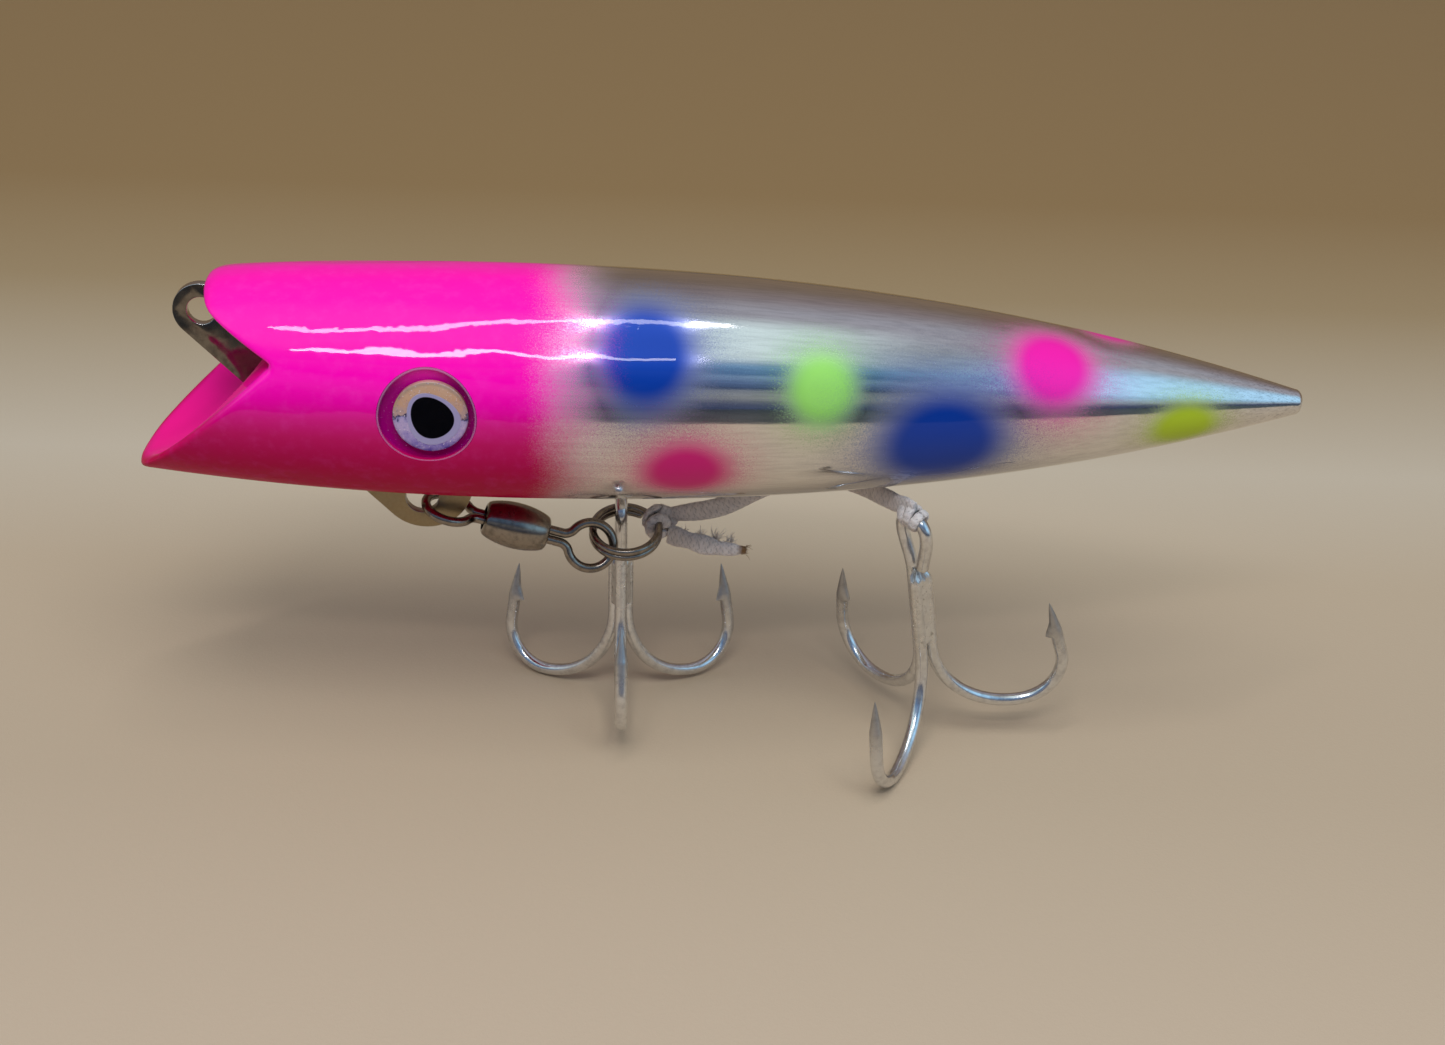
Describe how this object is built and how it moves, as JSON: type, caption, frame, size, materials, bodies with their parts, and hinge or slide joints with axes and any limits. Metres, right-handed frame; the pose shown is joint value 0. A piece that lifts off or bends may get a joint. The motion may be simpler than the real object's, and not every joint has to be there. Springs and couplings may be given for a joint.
{
  "type": "topwater popper lure",
  "caption": "Turned wooden topwater popper lure with a scooped mouth, slanting steel spine plate, swivel-hung belly treble and a corded tail treble.",
  "frame": {"origin": "centroid of the solids: on the body's long axis, 77 mm behind the tip of the lower lip", "axes": "+X along the body's long axis towards the tail, +Y across the body towards the lure's right side, +Z towards its back; the nose is at -X"},
  "size_m": [0.18, 0.0445, 0.0769],
  "materials": {
    "body": "turned wood, pink nose fading into mirror foil, thick clear gloss coat",
    "plate": "flat stainless bar, polished where it shows",
    "pin": "plain",
    "ballast": "lead, dull grey",
    "plug": "bare wood",
    "eye_foil": "holographic foil with a black pupil",
    "eye_resin": "clear cast resin, domed, gloss",
    "swivel": "dark nickel plate",
    "ring": "dark nickel plate",
    "front_hook": "tinned steel with brazing along the shank",
    "rear_hook": "tinned steel with brazing along the shank",
    "cord": "flat braided cord with a singed end"
  },
  "bodies": {
    "lure": {"body": "body", "spine_plate": "plate", "plate_lock_pin": "pin", "ballast_front": "ballast", "ballast_rear": "ballast", "ballast_plug_front": "plug", "ballast_plug_rear": "plug", "eye_disc_left": "eye_foil", "eye_dome_left": "eye_resin", "eye_disc_right": "eye_foil", "eye_dome_right": "eye_resin"},
    "swivel_front": {"swivel_front_eye": "swivel"},
    "swivel_barrel": {"swivel_barrel": "swivel"},
    "swivel_rear": {"swivel_rear_eye": "swivel"},
    "split_ring": {"split_ring": "ring"},
    "front_treble": {"front_treble_eye_hook": "front_hook", "front_treble_left_hook": "front_hook", "front_treble_right_hook": "front_hook"},
    "front_cord": {"cord_ring_hitch": "cord", "cord_tag_end": "cord", "cord_front_run": "cord"},
    "rear_cord": {"cord_rear_run": "cord", "cord_hook_wrap": "cord"},
    "rear_treble": {"rear_treble_eye_hook": "rear_hook", "rear_treble_left_hook": "rear_hook", "rear_treble_right_hook": "rear_hook"}
  },
  "joints": [
    {"name": "swivel_pitch", "type": "hinge", "parent": "lure", "child": "swivel_front", "pos_m": [-0.0334, 0, -0.0211], "axis": [0, 1, 0], "range_deg": [0, 90]},
    {"name": "barrel_spin", "type": "hinge", "parent": "swivel_front", "child": "swivel_barrel", "pos_m": [-0.0334, 0, -0.0211], "axis": [0.9562, 0.0556, -0.2872], "continuous": true},
    {"name": "swivel_turn", "type": "hinge", "parent": "swivel_front", "child": "swivel_rear", "pos_m": [-0.0334, 0, -0.0211], "axis": [0.9562, 0.0556, -0.2872], "range_deg": [0, 60]},
    {"name": "ring_swing", "type": "hinge", "parent": "swivel_rear", "child": "split_ring", "pos_m": [-0.00715, 0.0039, -0.0274], "axis": [0, 1, 0], "range_deg": [0, 30]},
    {"name": "front_treble_swing", "type": "hinge", "parent": "split_ring", "child": "front_treble", "pos_m": [-0.00259, 0.00883, -0.0256], "axis": [1, 0, 0], "range_deg": [-35, 45]},
    {"name": "cord_swing", "type": "hinge", "parent": "split_ring", "child": "front_cord", "pos_m": [0.00329, 0.00494, -0.02651], "axis": [-0.2419, 0.9118, 0.3319], "range_deg": [0, 35]},
    {"name": "cord_bend", "type": "hinge", "parent": "front_cord", "child": "rear_cord", "pos_m": [0.027, 0.0022, -0.0187], "axis": [0, 1, 0], "range_deg": [0, 30]},
    {"name": "rear_treble_swing", "type": "hinge", "parent": "rear_cord", "child": "rear_treble", "pos_m": [0.04199, -0.00997, -0.01657], "axis": [-0.5363, 0.8439, 0.0142], "range_deg": [-45, 45]}
  ]
}
